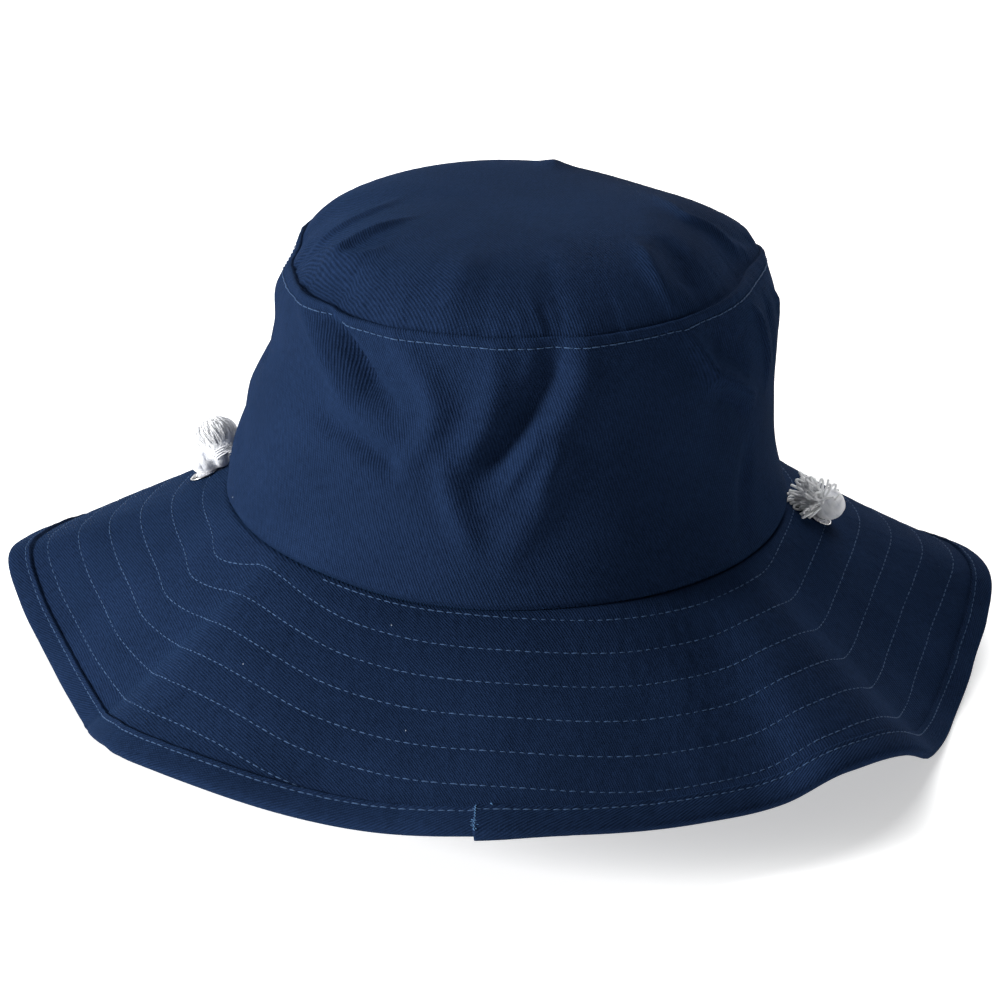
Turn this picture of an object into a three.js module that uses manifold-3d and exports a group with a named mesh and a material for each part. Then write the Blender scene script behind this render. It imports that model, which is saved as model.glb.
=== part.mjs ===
// Wide-brim sun hat of navy cotton twill: a domed oval crown top, a soft crown wall,
// a quilted brim bound at its edge, a metal eyelet at each side and a white chin cord
// whose two ends are knotted above the eyelets and frayed into tufts.
// Millimetres; +X to the wearer's side that lies right in a front view, -Y front, +Z up.
import * as THREE from "three";
import { mergeVertices } from "three/addons/utils/BufferGeometryUtils.js";
import Module from "manifold-3d";

const wasm = await Module();
wasm.setup();

// Crown, outer sizes
const crownBaseWidth = 178;
const crownBaseDepth = 194;
const crownHeight = 77;
const domeRise = 22;
const domeRoundness = 2.4;
const domeFullness = 0.8;
const wallThickness = 2;
const topThickness = 2;

// Brim, measured along the cloth from the crown seam to the bound edge
const brimWidth = 79;
const brimThickness = 1.6;
const bindingWidth = 8.5;
const bindingThickness = 0.8;
const lapBearing = -3.5;
const lapSpread = 13;
const lapHang = 1;

// Eyelets
const eyeletSetback = 11;
const flangeDiameter = 9.6;
const flangeThickness = 0.6;
const eyeletBore = 5.2;
const barrelWall = 0.5;
const seatDepth = 1.2;

// Chin cord and its frayed ends. The three shares are of knotDiameter: the radius of the
// turn round the knot, its height above the flange, and where the tuft starts above it.
const cordDiameter = 4.2;
const knotDiameter = 9.2;
const knotTurnShare = 0.36;
const knotLiftShare = 0.52;
const tuftRootShare = 0.3;
const neckBelow = 5;
const tuftLength = 11;
const tuftSpread = 56;
const lockDiameter = 3.4;
const lockTip = 2;
const locksInTuft = 11;
const outerLocksShorter = 0.15;

// Clearance kept between pieces that are sewn, pressed or tied together
const seamGap = 0.3;

// How many stations run round the hat, and how many sides a round piece has
const crownStations = 70;
const brimStations = 94;
const ringSides = 20;
const knotSides = 12;
const lockSides = 5;
const cordSides = 10;
const cordSteps = 64;

// Outline of the crown wall: one row per level. Height is a share of crownHeight,
// width and lean are shares of crownBaseWidth, depth is a share of crownBaseDepth.
const wallLevels = [
  { height: 0, width: 1, depth: 1, lean: 0 },
  { height: 0.25, width: 0.945, depth: 0.955, lean: 0 },
  { height: 0.5, width: 0.91, depth: 0.92, lean: 0.012 },
  { height: 0.75, width: 0.876, depth: 0.88, lean: 0.031 },
  { height: 1, width: 0.852, depth: 0.84, lean: 0.027 },
];

// Sag of the two crown seams, by bearing from the front: shares of crownHeight.
const seamSag = [
  { bearing: -180, base: 0, top: 0 },
  { bearing: -130, base: 0.015, top: 0.01 },
  { bearing: -90, base: 0.035, top: -0.06 },
  { bearing: -50, base: 0.045, top: -0.04 },
  { bearing: -20, base: 0.01, top: 0 },
  { bearing: 20, base: 0, top: 0 },
  { bearing: 60, base: -0.01, top: 0.02 },
  { bearing: 90, base: -0.01, top: 0 },
  { bearing: 130, base: 0, top: -0.09 },
];

// Soft folds of the crown wall: each runs from one level and bearing to another.
// Levels are shares of crownHeight, push is a share of crownBaseWidth, spread is in degrees.
const wallFolds = [
  { low: 0.45, lowBearing: -23, high: 0.97, highBearing: -43, spread: 6, push: -0.012 },
  { low: 0.5, lowBearing: -14, high: 1, highBearing: -26, spread: 8, push: 0.012 },
  { low: 0.48, lowBearing: -26, high: 0.72, highBearing: -46, spread: 5, push: -0.008 },
  { low: 0.02, lowBearing: -4, high: 0.95, highBearing: 8, spread: 11, push: 0.012 },
  { low: 0.02, lowBearing: -20, high: 0.8, highBearing: -8, spread: 9, push: -0.008 },
  { low: 0.1, lowBearing: 26, high: 0.9, highBearing: 24, spread: 12, push: -0.008 },
  { low: 0.6, lowBearing: 48, high: 1, highBearing: 40, spread: 6, push: 0.01 },
  { low: 0.5, lowBearing: 86, high: 1, highBearing: 82, spread: 7, push: -0.012 },
  { low: 0.35, lowBearing: -82, high: 0.8, highBearing: -84, spread: 8, push: -0.014 },
];

// Creases of the crown top: each runs from the top seam towards the middle.
// Reach is a share of the seam's radius, dip a share of domeRise, spread is in degrees.
const topCreases = [
  { bearing: -84, reach: 0.3, spread: 10, dip: -0.16 },
  { bearing: -104, reach: 0.34, spread: 13, dip: 0.12 },
  { bearing: 92, reach: 0.3, spread: 9, dip: -0.1 },
  { bearing: 66, reach: 0.3, spread: 12, dip: 0.06 },
];

// Folds of the brim: at each bearing of the crown seam the cloth runs straight out,
// turned by swing from that bearing and falling by droop. All three are degrees.
const brimFolds = [
  { bearing: -180, swing: 0, droop: 40 },
  { bearing: -150, swing: 0, droop: 42 },
  { bearing: -122, swing: -3, droop: 40 },
  { bearing: -106, swing: -7, droop: 31 },
  { bearing: -97, swing: -10, droop: 23 },
  { bearing: -90, swing: -8, droop: 22 },
  { bearing: -80, swing: -18, droop: 29 },
  { bearing: -70, swing: -28, droop: 38 },
  { bearing: -62, swing: -28, droop: 45 },
  { bearing: -56, swing: -4, droop: 42 },
  { bearing: -50, swing: 10, droop: 31 },
  { bearing: -40, swing: 13, droop: 25 },
  { bearing: -28, swing: 14, droop: 25 },
  { bearing: 0, swing: -2, droop: 24 },
  { bearing: 28, swing: -19, droop: 26 },
  { bearing: 38, swing: -21, droop: 26 },
  { bearing: 46, swing: -21, droop: 22 },
  { bearing: 52, swing: -14, droop: 26 },
  { bearing: 57, swing: -1, droop: 39 },
  { bearing: 62, swing: 12, droop: 42 },
  { bearing: 70, swing: 22, droop: 38 },
  { bearing: 80, swing: 18, droop: 32 },
  { bearing: 90, swing: 11, droop: 27 },
  { bearing: 98, swing: 8, droop: 27 },
  { bearing: 108, swing: 6, droop: 34 },
  { bearing: 125, swing: 3, droop: 40 },
  { bearing: 150, swing: 0, droop: 42 },
];

// The two ends of the chin cord. Aside is how far the knot lies down the brim from its
// eyelet, long its length, both as shares of knotDiameter. Tilts lean towards the crown
// wall and are degrees from upright, for the knot and for its tuft.
const cordEnds = [
  { side: "left", bearing: -98, aside: -0.55, long: 1.3, knotTilt: 52, tuftTilt: 8 },
  { side: "right", bearing: 84, aside: 0.24, long: 1.04, knotTilt: 40, tuftTilt: 58 },
];

// Route of the chin cord under the brim, from the left eyelet to the right one.
const cordRoute = [
  [-93.6, 21.7, 46.7],
  [-91.6, 20.9, 40.5],
  [-91.6, 22, 32],
  [-95, 25.5, 21],
  [-102, 28, 12],
  [-110, 26, 6],
  [-116, 18.5, 3],
  [-119.4, 5, 2.3],
  [-119.6, -15, 2.3],
  [-114, -43, 2.3],
  [-94, -75, 2.3],
  [-54, -102, 2.3],
  [0, -112, 2.3],
  [54, -102, 2.3],
  [94, -75, 2.3],
  [114, -43, 2.3],
  [119.6, -20, 2.3],
  [119.2, -4, 2.3],
  [115.5, 6.5, 3.1],
  [109, 12, 6],
  [101.5, 11.5, 11.8],
  [94.5, 6.5, 19.5],
  [91.6, 1.2, 28.5],
  [92.6, -1, 37.2],
  [95.9, -1.7, 42.8],
];

const degrees = Math.PI / 180;
const goldenAngle = Math.PI * (3 - Math.sqrt(5));
const sameCorner = 1e-4;

// Smooth curve that passes through one column of a table, by its rows' positions.
function smoothColumn(places, values, at) {
  let i = 0;
  while (i < places.length - 2 && places[i + 1] <= at) i += 1;
  const slope = (k) => (values[k + 1] - values[k]) / (places[k + 1] - places[k]);
  const slopeAt = (k) => {
    if (k === 0) return slope(0);
    if (k === places.length - 1) return slope(k - 1);
    const before = places[k] - places[k - 1];
    const after = places[k + 1] - places[k];
    return (slope(k - 1) * after + slope(k) * before) / (before + after);
  };
  const span = places[i + 1] - places[i];
  const u = (at - places[i]) / span;
  const start = (2 * u ** 3 - 3 * u ** 2 + 1) * values[i];
  const end = (3 * u ** 2 - 2 * u ** 3) * values[i + 1];
  const leave = (u ** 3 - 2 * u ** 2 + u) * span * slopeAt(i);
  const arrive = (u ** 3 - u ** 2) * span * slopeAt(i + 1);
  return start + end + leave + arrive;
}

// A column of a table whose rows go once round the hat by bearing.
function roundTheHat(rows, column) {
  const places = [];
  const values = [];
  for (const turn of [-360, 0, 360]) {
    for (const row of rows) {
      places.push(row.bearing + turn);
      values.push(row[column]);
    }
  }
  return (bearing) => {
    const within = THREE.MathUtils.euclideanModulo(bearing + 180, 360) - 180;
    return smoothColumn(places, values, within);
  };
}

function upTheWall(column) {
  const places = wallLevels.map((row) => row.height);
  const values = wallLevels.map((row) => row[column]);
  return (level) => smoothColumn(places, values, level);
}

const widthAt = upTheWall("width");
const depthAt = upTheWall("depth");
const leanAt = upTheWall("lean");
const baseSag = roundTheHat(seamSag, "base");
const topSag = roundTheHat(seamSag, "top");
const brimSwing = roundTheHat(brimFolds, "swing");
const brimDroop = roundTheHat(brimFolds, "droop");

// Point of an upright oval at a bearing from the front, and the way out from it.
function ovalPoint(bearing, halfWidth, halfDepth) {
  const angle = bearing * degrees;
  return new THREE.Vector3(halfWidth * Math.sin(angle), -halfDepth * Math.cos(angle), 0);
}

function ovalOutward(bearing, halfWidth, halfDepth) {
  return ovalPoint(bearing, 1 / halfWidth, 1 / halfDepth).normalize();
}

// Fade from 0 to 1 over a short stretch that ends at the given place.
const fadeIn = (value, place, stretch) => THREE.MathUtils.smoothstep(value, place - stretch, place);

// Sum of the wall's folds at a bearing and level, as a distance outwards.
function foldPush(bearing, level) {
  const fadeStretch = 0.14;
  let push = 0;
  for (const fold of wallFolds) {
    const share = (level - fold.low) / (fold.high - fold.low);
    const ridge = THREE.MathUtils.lerp(fold.lowBearing, fold.highBearing, share);
    const aside = THREE.MathUtils.euclideanModulo(bearing - ridge + 180, 360) - 180;
    const from = fadeIn(level, fold.low + fadeStretch, fadeStretch);
    const until = 1 - fadeIn(level, fold.high, fadeStretch);
    push += fold.push * from * until * Math.exp(-((aside / fold.spread) ** 2));
  }
  return push * crownBaseWidth;
}

// Outer face of the crown wall, or a face that lies deeper in by inset.
function wallPoint(bearing, level, inset) {
  const halfWidth = (crownBaseWidth / 2) * widthAt(level);
  const halfDepth = (crownBaseDepth / 2) * depthAt(level);
  const point = ovalPoint(bearing, halfWidth, halfDepth);
  const outward = ovalOutward(bearing, halfWidth, halfDepth);
  point.addScaledVector(outward, foldPush(bearing, level) - inset);
  point.x += leanAt(level) * crownBaseWidth;
  const sag = baseSag(bearing) * (1 - level) + topSag(bearing) * level;
  point.z = crownHeight * (level + sag);
  return point;
}

// The dome over the top seam: share is 1 at the seam and 0 in the middle.
function topPoint(bearing, share, inset) {
  const rim = wallPoint(bearing, 1, inset);
  const middleX = leanAt(1) * crownBaseWidth;
  const point = new THREE.Vector3(middleX, 0, 0);
  point.lerp(new THREE.Vector3(rim.x, rim.y, 0), share);
  let crease = 0;
  for (const row of topCreases) {
    const aside = THREE.MathUtils.euclideanModulo(bearing - row.bearing + 180, 360) - 180;
    const near = (1 - share) / row.reach;
    const along = Math.max(0, 4 * near * (1 - near));
    crease += row.dip * along * Math.exp(-((aside / row.spread) ** 2));
  }
  const rise = (domeRise - inset) * (1 - share ** domeRoundness) ** domeFullness;
  const seamLevel = crownHeight + (rim.z - crownHeight) * share ** 2;
  point.z = seamLevel + rise + domeRise * crease;
  return point;
}

// Upper face of the brim: reach is a distance along the cloth from the crown seam.
function brimPoint(bearing, reach) {
  const seam = ovalPoint(bearing, crownBaseWidth / 2, crownBaseDepth / 2);
  seam.z = crownHeight * baseSag(bearing);
  return seam.addScaledVector(brimRun(bearing), reach);
}

function brimRun(bearing) {
  const heading = (bearing + brimSwing(bearing)) * degrees;
  const fall = brimDroop(bearing) * degrees;
  const level = Math.cos(fall);
  return new THREE.Vector3(
    Math.sin(heading) * level,
    -Math.cos(heading) * level,
    -Math.sin(fall),
  );
}

function brimNormal(bearing, reach) {
  const step = 0.25;
  const across = brimPoint(bearing + step, reach).sub(brimPoint(bearing - step, reach));
  return brimRun(bearing).cross(across).normalize();
}

// A place on the brim that lies off its upper face along the cloth's own normal.
function offBrim(bearing, reach, lift) {
  return brimPoint(bearing, reach).addScaledVector(brimNormal(bearing, reach), lift);
}

// Bearings spaced evenly along the middle of the brim, so that sharp folds get enough.
function evenBearings(count) {
  const finePerDegree = 2;
  const middle = brimWidth * 0.6;
  const lengths = [0];
  for (let i = 1; i <= 360 * finePerDegree; i += 1) {
    const here = brimPoint(-180 + i / finePerDegree, middle);
    const before = brimPoint(-180 + (i - 1) / finePerDegree, middle);
    lengths.push(lengths[i - 1] + here.distanceTo(before));
  }
  const whole = lengths[lengths.length - 1];
  const bearings = [];
  for (let i = 0; i < count; i += 1) {
    const wanted = (whole * i) / count;
    const k = lengths.findIndex((length) => length > wanted) - 1;
    const part = (wanted - lengths[k]) / (lengths[k + 1] - lengths[k]);
    bearings.push(-180 + (k + part) / finePerDegree);
  }
  return bearings;
}

// Closed skin through loops of equally many points. A ring joins its last loop to its
// first; otherwise the two end loops are closed by fans to their own middles.
function skin(loops, isRing) {
  const around = loops[0].length;
  const corners = loops.flat().flatMap((point) => [point.x, point.y, point.z]);
  const triangles = [];
  const spans = isRing ? loops.length : loops.length - 1;
  for (let i = 0; i < spans; i += 1) {
    const here = i * around;
    const next = ((i + 1) % loops.length) * around;
    for (let j = 0; j < around; j += 1) {
      const k = (j + 1) % around;
      triangles.push(here + j, here + k, next + k, here + j, next + k, next + j);
    }
  }
  if (!isRing) {
    for (const end of [0, loops.length - 1]) {
      const middle = new THREE.Vector3();
      loops[end].forEach((point) => middle.addScaledVector(point, 1 / around));
      const centre = corners.length / 3;
      corners.push(middle.x, middle.y, middle.z);
      for (let j = 0; j < around; j += 1) {
        const k = (j + 1) % around;
        const rim = [end * around + j, end * around + k];
        if (end === 0) rim.reverse();
        triangles.push(rim[0], rim[1], centre);
      }
    }
  }
  const geometry = new THREE.BufferGeometry();
  geometry.setAttribute("position", new THREE.Float32BufferAttribute(corners, 3));
  geometry.setIndex(triangles);
  return facingOut(geometry);
}

// Turns a closed geometry's triangles round when they face inwards.
function facingOut(geometry) {
  const place = geometry.getAttribute("position");
  const index = geometry.getIndex();
  const [a, b, c] = [new THREE.Vector3(), new THREE.Vector3(), new THREE.Vector3()];
  let volume = 0;
  for (let i = 0; i < index.count; i += 3) {
    a.fromBufferAttribute(place, index.getX(i));
    b.fromBufferAttribute(place, index.getX(i + 1));
    c.fromBufferAttribute(place, index.getX(i + 2));
    volume += a.dot(b.cross(c));
  }
  if (volume < 0) geometry.setIndex([...index.array].reverse());
  geometry.computeVertexNormals();
  return geometry;
}

function toSolid(geometry) {
  const plain = geometry.clone();
  plain.deleteAttribute("normal");
  plain.deleteAttribute("uv");
  const merged = mergeVertices(plain, sameCorner);
  const vertProperties = new Float32Array(merged.getAttribute("position").array);
  const triVerts = new Uint32Array(merged.getIndex().array);
  return new wasm.Manifold(new wasm.Mesh({ numProp: 3, vertProperties, triVerts }));
}

function toGeometry(solid) {
  const mesh = solid.getMesh();
  const geometry = new THREE.BufferGeometry();
  geometry.setAttribute("position", new THREE.Float32BufferAttribute(mesh.vertProperties, 3));
  geometry.setIndex([...mesh.triVerts]);
  geometry.computeVertexNormals();
  return geometry;
}

const fuse = (geometries) => toGeometry(
  geometries.map(toSolid).reduce((whole, part) => whole.add(part)),
);

// Frame of an eyelet: origin on the brim's upper face, z along the cloth's normal,
// x straight away from the crown.
function eyeletFrame(bearing) {
  const up = brimNormal(bearing, eyeletSetback);
  const out = brimRun(bearing);
  const side = new THREE.Vector3().crossVectors(up, out).normalize();
  const frame = new THREE.Matrix4().makeBasis(out, side, up);
  return frame.setPosition(brimPoint(bearing, eyeletSetback));
}

const flangeRadius = flangeDiameter / 2;
const boreRadius = eyeletBore / 2;
const barrelRadius = boreRadius + barrelWall;

// What an eyelet takes out of the cloth: a hole for its barrel and a pressed seat
// under each flange.
function eyeletSeat(bearing) {
  const reach = flangeRadius + seamGap;
  const hole = new THREE.CylinderGeometry(
    barrelRadius + seamGap, barrelRadius + seamGap, 4 * seatDepth + brimThickness, ringSides,
  );
  const upper = new THREE.CylinderGeometry(reach, reach, seatDepth, ringSides);
  upper.translate(0, seatDepth / 2, 0);
  const lower = upper.clone().translate(0, -brimThickness - seatDepth, 0);
  const seat = [hole, upper, lower].map((piece) => {
    piece.rotateX(Math.PI / 2);
    piece.applyMatrix4(eyeletFrame(bearing));
    return toSolid(piece);
  });
  return seat[0].add(seat[1]).add(seat[2]);
}

function eyeletGeometry(bearing) {
  const top = seamGap + flangeThickness;
  const bottom = -brimThickness - top;
  const profile = [
    [boreRadius, bottom],
    [flangeRadius, bottom],
    [flangeRadius, bottom + flangeThickness],
    [barrelRadius, bottom + flangeThickness],
    [barrelRadius, top - flangeThickness],
    [flangeRadius, top - flangeThickness],
    [flangeRadius, top],
    [boreRadius, top],
    [boreRadius, bottom],
  ].map(([radius, height]) => new THREE.Vector2(radius, height));
  const geometry = new THREE.LatheGeometry(profile, ringSides);
  geometry.rotateX(Math.PI / 2);
  geometry.applyMatrix4(eyeletFrame(bearing));
  return toGeometry(toSolid(geometry));
}

function crownTopGeometry() {
  const bearings = evenBearings(crownStations);
  const outerShares = [0.08, 0.32, 0.56, 0.76, 0.9, 0.97, 1];
  const innerShares = [1, 0.9, 0.68, 0.35];
  const face = (shares, inset) => (
    shares.map((share) => bearings.map((at) => raised(topPoint(at, share, inset))))
  );
  return skin([...face(outerShares, 0), ...face(innerShares, topThickness)], false);
}

const raised = (point) => point.setZ(point.z + seamGap);

function crownWallGeometry() {
  const bearings = evenBearings(crownStations);
  const levels = [0, 0.12, 0.27, 0.42, 0.56, 0.7, 0.84, 1];
  const face = (inset) => levels.map((level) => bearings.map((at) => {
    const point = wallPoint(at, level, inset);
    point.z += seamGap * (1 - level);
    return point;
  }));
  return skin([...face(0), ...face(wallThickness).reverse()], true);
}

// The brim's cloth ends inside the fold of its binding.
const clothReach = brimWidth - bindingThickness - seamGap;

function brimGeometry() {
  const bearings = evenBearings(brimStations);
  const reaches = [0, 0.3, 0.65, 1].map((share) => share * clothReach);
  const seamEdge = (drop) => bearings.map((at) => {
    const point = wallPoint(at, 0, wallThickness);
    point.z -= drop;
    return point;
  });
  const face = (drop) => reaches.map((reach) => bearings.map((at) => offBrim(at, reach, -drop)));
  const cloth = skin(
    [seamEdge(0), ...face(0), ...face(brimThickness).reverse(), seamEdge(brimThickness)],
    true,
  );
  let solid = toSolid(cloth);
  for (const end of cordEnds) solid = solid.subtract(eyeletSeat(end.bearing));
  return toGeometry(solid);
}

// How much thicker the binding is where its free end laps over its start.
function lapAt(bearing) {
  const past = bearing - lapBearing;
  return past < 0 || past > lapSpread ? 0 : 1 - past / lapSpread;
}

function bindingGeometry() {
  const stepWidth = 0.05;
  const lapStart = [lapBearing - stepWidth, lapBearing + stepWidth];
  const clearOfLap = (at) => Math.abs(at - lapBearing) > 1;
  const bearings = [...evenBearings(brimStations).filter(clearOfLap), ...lapStart];
  bearings.sort((a, b) => a - b);
  const inside = seamGap;
  const outside = seamGap + bindingThickness;
  const inner = brimWidth - bindingWidth;
  const section = [
    { reach: inner, lift: inside, laps: 0, hangs: 0 },
    { reach: inner, lift: outside, laps: 1, hangs: 0 },
    { reach: brimWidth - bindingThickness, lift: outside, laps: 1, hangs: 1 },
    { reach: brimWidth, lift: -brimThickness / 2, laps: 0, hangs: 1 },
    { reach: brimWidth - bindingThickness, lift: -brimThickness - outside, laps: -1, hangs: 1 },
    { reach: inner, lift: -brimThickness - outside, laps: -1, hangs: 0 },
    { reach: inner, lift: -brimThickness - inside, laps: 0, hangs: 0 },
    { reach: clothReach + seamGap, lift: -brimThickness - inside, laps: 0, hangs: 0 },
    { reach: clothReach + seamGap, lift: inside, laps: 0, hangs: 0 },
  ];
  const loops = section.map((corner) => bearings.map((at) => {
    const lap = lapAt(at);
    const reach = corner.reach + corner.hangs * lapHang * lap;
    const lift = corner.lift + corner.laps * bindingThickness * lap;
    return offBrim(at, reach, lift);
  }));
  return skin(loops, true);
}

// The knotted, frayed end of the chin cord: a neck up through the eyelet, a knot on
// its flange and a tuft of tapered locks.
function tasselGeometry(end) {
  const frame = eyeletFrame(end.bearing);
  const flangeTop = seamGap + flangeThickness;
  const neckLength = neckBelow + brimThickness + flangeTop + knotDiameter / 2;
  const neck = new THREE.CylinderGeometry(
    cordDiameter / 2, cordDiameter / 2, neckLength, cordSides,
  );
  neck.rotateX(Math.PI / 2);
  neck.translate(0, 0, neckLength / 2 - neckBelow - brimThickness);
  neck.applyMatrix4(frame);

  const up = new THREE.Vector3(0, 0, 1);
  const inward = brimRun(end.bearing).setZ(0).normalize().negate();
  const along = new THREE.Vector3().crossVectors(up, inward);
  const lift = flangeTop + seamGap + knotDiameter * knotLiftShare;
  const heart = new THREE.Vector3(knotDiameter * end.aside, 0, lift).applyMatrix4(frame);

  const knot = new THREE.SphereGeometry(knotDiameter / 2, knotSides, knotSides - 4);
  knot.scale(1, 1, end.long);
  const knotAxis = up.clone().applyAxisAngle(along, end.knotTilt * degrees);
  const knotTurn = new THREE.Quaternion().setFromUnitVectors(up, knotAxis);
  knot.applyQuaternion(knotTurn).translate(heart.x, heart.y, heart.z);

  const turn = new THREE.TorusGeometry(
    knotDiameter * knotTurnShare, cordDiameter * 0.4, knotSides / 2, knotSides,
  );
  turn.applyQuaternion(knotTurn).translate(heart.x, heart.y, heart.z);

  const tuftAxis = up.clone().applyAxisAngle(along, end.tuftTilt * degrees);
  const root = heart.clone().addScaledVector(tuftAxis, knotDiameter * tuftRootShare);
  const locks = Array.from({ length: locksInTuft }, (_, i) => {
    const share = Math.sqrt((i + 0.5) / locksInTuft);
    const length = tuftLength * (1 - outerLocksShorter * share);
    const lock = new THREE.CylinderGeometry(lockTip / 2, lockDiameter / 2, length, lockSides);
    lock.rotateX(Math.PI / 2);
    lock.translate(0, 0, length / 2);
    lock.rotateX(tuftSpread * share * degrees);
    lock.rotateZ(goldenAngle * i);
    lock.applyQuaternion(new THREE.Quaternion().setFromUnitVectors(up, tuftAxis));
    return lock.translate(root.x, root.y, root.z);
  });

  // What would lie below the eyelet's face is pressed flat on it; only the neck goes through.
  const reach = 4 * knotDiameter;
  const below = new THREE.BoxGeometry(reach, reach, reach);
  below.translate(0, 0, flangeTop + seamGap - reach / 2).applyMatrix4(frame);
  const head = toSolid(fuse([knot, turn, ...locks])).subtract(toSolid(below));
  return toGeometry(head.add(toSolid(neck)));
}

// The cord's own tube, laid along its route on the surface that the hat stands on.
function cordGeometry() {
  const route = new THREE.CatmullRomCurve3(cordRoute.map((point) => new THREE.Vector3(...point)));
  const outline = new THREE.Shape();
  outline.absarc(0, 0, cordDiameter / 2, 0, 2 * Math.PI, false);
  const geometry = new THREE.ExtrudeGeometry(outline, {
    steps: cordSteps,
    curveSegments: cordSides / 2,
    extrudePath: route,
    bevelEnabled: false,
  });
  return toGeometry(toSolid(geometry));
}

const twill = (color) => new THREE.MeshStandardMaterial({ color, roughness: 0.85, metalness: 0 });

function named(name, geometry, material) {
  const mesh = new THREE.Mesh(geometry, material);
  mesh.name = name;
  return mesh;
}

// Everything is shaped with the crown seam at z = 0, then stood on its lowest point.
const hat = new THREE.Group();
hat.add(named("crown_top", crownTopGeometry(), twill(0x20345a)));
hat.add(named("crown_wall", crownWallGeometry(), twill(0x1c2f52)));
hat.add(named("brim", brimGeometry(), twill(0x1c2f52)));
hat.add(named("brim_binding", bindingGeometry(), twill(0x18294a)));
for (const end of cordEnds) {
  const steel = new THREE.MeshStandardMaterial({ color: 0xc3c5c8, roughness: 0.25, metalness: 1 });
  hat.add(named("eyelet_" + end.side, eyeletGeometry(end.bearing), steel));
}
const stood = new THREE.Box3().setFromObject(hat);
const middle = stood.getCenter(new THREE.Vector3());
hat.position.set(-middle.x, -middle.y, -stood.min.z);

const cotton = () => new THREE.MeshStandardMaterial({ color: 0xe6e9f2, roughness: 0.95, metalness: 0 });
for (const end of cordEnds) {
  hat.add(named("tassel_" + end.side, tasselGeometry(end), cotton()));
}

const part = new THREE.Group();
part.add(hat);
part.add(named("chin_cord", cordGeometry(), cotton()));

export default part;
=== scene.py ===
# Wide-brim sun hat of navy cotton twill, as it lies on a table with its white chin cord under it.
# The sections follow the order in which the hat is put together. Metres; -Y is the front.
import math

import bpy
import numpy as np
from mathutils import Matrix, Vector


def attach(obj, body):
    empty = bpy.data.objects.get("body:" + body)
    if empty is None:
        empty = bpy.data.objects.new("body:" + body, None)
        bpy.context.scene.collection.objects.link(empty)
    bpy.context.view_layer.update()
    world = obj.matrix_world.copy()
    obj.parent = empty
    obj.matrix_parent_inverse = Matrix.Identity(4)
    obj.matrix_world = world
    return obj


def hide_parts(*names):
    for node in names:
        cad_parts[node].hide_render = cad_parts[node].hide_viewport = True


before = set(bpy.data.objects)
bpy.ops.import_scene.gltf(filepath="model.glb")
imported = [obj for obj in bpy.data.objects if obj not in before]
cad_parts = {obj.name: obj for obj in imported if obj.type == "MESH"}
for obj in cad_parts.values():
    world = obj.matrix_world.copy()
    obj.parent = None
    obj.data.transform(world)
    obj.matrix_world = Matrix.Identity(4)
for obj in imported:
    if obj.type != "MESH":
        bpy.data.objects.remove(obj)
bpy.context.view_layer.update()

mm = 0.001


# Camera. It looks at the front of the hat from a little above, with a long lens, as the photograph does.
camera_elevation = math.radians(22)
camera_distance = 885 * mm
looked_at = Vector((-0.93, 6.11, 50.81)) * mm

camera_data = bpy.data.cameras.new("photo_camera")
camera_data.lens = 100
camera_data.sensor_width = 36
camera_data.clip_start = 0.01
camera = bpy.data.objects.new("photo_camera", camera_data)
back_from_hat = Vector((0, -math.cos(camera_elevation), math.sin(camera_elevation)))
camera.location = looked_at + camera_distance * back_from_hat
camera.rotation_euler = (math.pi / 2 - camera_elevation, 0, 0)
bpy.context.scene.collection.objects.link(camera)
bpy.context.scene.camera = camera


# Chin cord. One soft braided cotton cord that runs from the left eyelet to the right one, half a metre
# in all. It lies on the table under the front of the brim, out of sight from the front.
cord_width = 4.2 * mm
cord_route = np.array([
    (-93.6, 21.7, 46.7), (-91.6, 20.9, 40.5), (-91.6, 22, 32), (-95, 25.5, 21), (-102, 28, 12),
    (-110, 26, 6), (-116, 18.5, 3), (-119.4, 5, 2.3), (-119.6, -15, 2.3), (-114, -43, 2.3),
    (-94, -75, 2.3), (-54, -102, 2.3), (0, -112, 2.3), (54, -102, 2.3), (94, -75, 2.3),
    (114, -43, 2.3), (119.6, -20, 2.3), (119.2, -4, 2.3), (115.5, 6.5, 3.1), (109, 12, 6),
    (101.5, 11.5, 11.8), (94.5, 6.5, 19.5), (91.6, 1.2, 28.5), (92.6, -1, 37.2), (95.9, -1.7, 42.8),
]) * mm


def through(points, per_span):
    """Smooth line through given points, as a thread would lie."""
    points = np.asarray(points, float)
    first = 2 * points[0] - points[1]
    last = 2 * points[-1] - points[-2]
    held = np.vstack([first, points, last])
    gaps = np.sqrt(np.linalg.norm(np.diff(held, axis=0), axis=1))
    line = []
    for i in range(1, len(held) - 2):
        before, here, there, after = held[i - 1:i + 3]
        a, b, c = gaps[i - 1:i + 2]
        leave = ((here - before) / a - (there - before) / (a + b) + (there - here) / b) * b
        arrive = ((there - here) / b - (after - here) / (b + c) + (after - there) / c) * b
        t = np.linspace(0, 1, per_span, endpoint=False)[:, None]
        line.append((2 * t**3 - 3 * t**2 + 1) * here + (3 * t**2 - 2 * t**3) * there
                    + (t**3 - 2 * t**2 + t) * leave + (t**3 - t**2) * arrive)
    return np.vstack([*line, points[-1:]])


def unit(vectors):
    return vectors / np.linalg.norm(vectors, axis=-1, keepdims=True)


def run_length(line):
    """How far along a line each of its points lies."""
    return np.concatenate([[0], np.cumsum(np.linalg.norm(np.diff(line, axis=0), axis=1))])


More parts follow.
